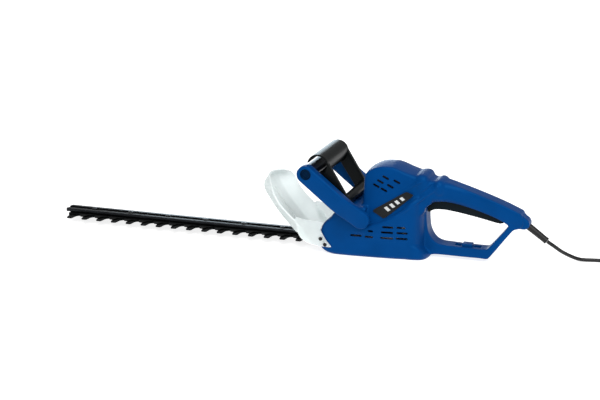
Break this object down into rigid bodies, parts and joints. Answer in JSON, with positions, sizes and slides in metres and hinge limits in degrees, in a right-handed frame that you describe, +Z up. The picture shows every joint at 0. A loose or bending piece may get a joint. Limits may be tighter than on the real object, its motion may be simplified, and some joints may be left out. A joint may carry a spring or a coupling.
{
  "type": "electric hedge trimmer",
  "caption": "Corded electric hedge trimmer: reciprocating twin blades on a bar, white guard, front handle with switch bar, rear D-handle with trigger, short cord tail.",
  "frame": {"origin": "on the floor under the middle of the box around the tool, cord left out", "axes": "+X from the blade tip towards the cord, +Z up, the operator's left side at -Y"},
  "size_m": [1.1411, 0.16, 0.1792],
  "materials": {
    "blue_plastic": "satin moulded",
    "screw_steel": "black oxide",
    "navy_plastic": "satin",
    "black_grip": "satin moulded",
    "bright_steel": "ground",
    "inner_black": "moulded",
    "white_guard": "satin, slightly translucent",
    "label_black": "printed film",
    "bar_steel": "blackened",
    "blade_steel": "blackened",
    "bolt_steel": "blackened",
    "cast_metal": "die cast",
    "gear_steel": "machined",
    "lamination_steel": "stacked sheet",
    "copper_winding": "enamelled copper wire",
    "brass": "plain",
    "black_plastic": "fine grained",
    "capacitor_case": "moulded",
    "cord_rubber": "smooth"
  },
  "bodies": {
    "tool": {"housing_left": "blue_plastic", "housing_right": "blue_plastic", "housing_screw_1": "screw_steel", "housing_screw_2": "screw_steel", "housing_screw_3": "screw_steel", "housing_screw_4": "screw_steel", "housing_screw_5": "screw_steel", "housing_screw_6": "screw_steel", "housing_screw_7": "screw_steel", "housing_screw_8": "screw_steel", "front_arm_left": "blue_plastic", "front_arm_right": "blue_plastic", "front_handle_tube": "navy_plastic", "front_bar_pin": "bright_steel", "front_switch": "inner_black", "guard": "white_guard", "guard_screw_left_1": "screw_steel", "guard_screw_left_2": "screw_steel", "label_plate_left": "label_black", "guard_screw_right_1": "screw_steel", "guard_screw_right_2": "screw_steel", "label_plate_right": "label_black", "support_bar": "bar_steel", "bar_bolt_1": "bolt_steel", "bar_bolt_2": "bolt_steel", "bar_bolt_3": "bolt_steel", "bar_bolt_4": "bolt_steel", "bar_bolt_5": "bolt_steel", "bar_bolt_6": "bolt_steel", "bar_root_bolt": "bolt_steel", "gearbox_base": "cast_metal", "gearbox_cover": "cast_metal", "gear_pin": "bright_steel", "motor_stator": "lamination_steel", "field_winding_left": "copper_winding", "field_winding_right": "copper_winding", "lower_bearing": "bright_steel", "upper_bearing": "bright_steel", "fan_baffle": "inner_black", "brush_holder_front": "brass", "brush_holder_rear": "brass", "trigger_pin": "bright_steel", "trigger_spring": "bright_steel", "rear_switch": "inner_black", "noise_capacitor": "capacitor_case", "cord_clamp": "inner_black", "strain_relief": "cord_rubber", "cord": "cord_rubber", "plug": "cord_rubber"},
    "upper_blade": {"upper_blade": "blade_steel"},
    "lower_blade": {"lower_blade": "blade_steel"},
    "drive_gear": {"drive_gear": "gear_steel"},
    "rotor": {"motor_shaft": "bright_steel", "armature": "copper_winding", "commutator": "brass", "cooling_fan": "inner_black", "pinion": "gear_steel"},
    "rear_trigger": {"rear_trigger": "black_plastic"},
    "front_switch_bar": {"front_switch_bar": "black_grip"}
  },
  "joints": [
    {"name": "upper_blade_slide", "type": "slide", "parent": "tool", "child": "upper_blade", "axis": [1, 0, 0], "range_m": [-0.008, 0.008]},
    {"name": "lower_blade_slide", "type": "slide", "parent": "tool", "child": "lower_blade", "axis": [1, 0, 0], "range_m": [-0.008, 0.008]},
    {"name": "drive_gear_spin", "type": "hinge", "parent": "tool", "child": "drive_gear", "pos_m": [0.138, 0, 0], "axis": [0, 0, 1], "continuous": true},
    {"name": "rotor_spin", "type": "hinge", "parent": "tool", "child": "rotor", "pos_m": [0.17895, 0, 0], "axis": [0, 0, 1], "continuous": true},
    {"name": "rear_trigger_pivot", "type": "hinge", "parent": "tool", "child": "rear_trigger", "pos_m": [0.26, 0, 0.109], "axis": [0, -1, 0], "range_deg": [0, 4], "stiffness_Nm_per_rad": 1.2, "springref_deg": -6.88, "deforming": ["trigger_spring"]},
    {"name": "front_bar_pivot", "type": "hinge", "parent": "tool", "child": "front_switch_bar", "pos_m": [0.1095, 0, 0.1], "axis": [0, -1, 0], "range_deg": [0, 4], "stiffness_Nm_per_rad": 6, "springref_deg": -6.88}
  ],
  "couplings": [
    {"joint": "lower_blade_slide", "follows": "upper_blade_slide", "ratio": -1},
    {"joint": "rotor_spin", "follows": "drive_gear_spin", "ratio": -6}
  ]
}
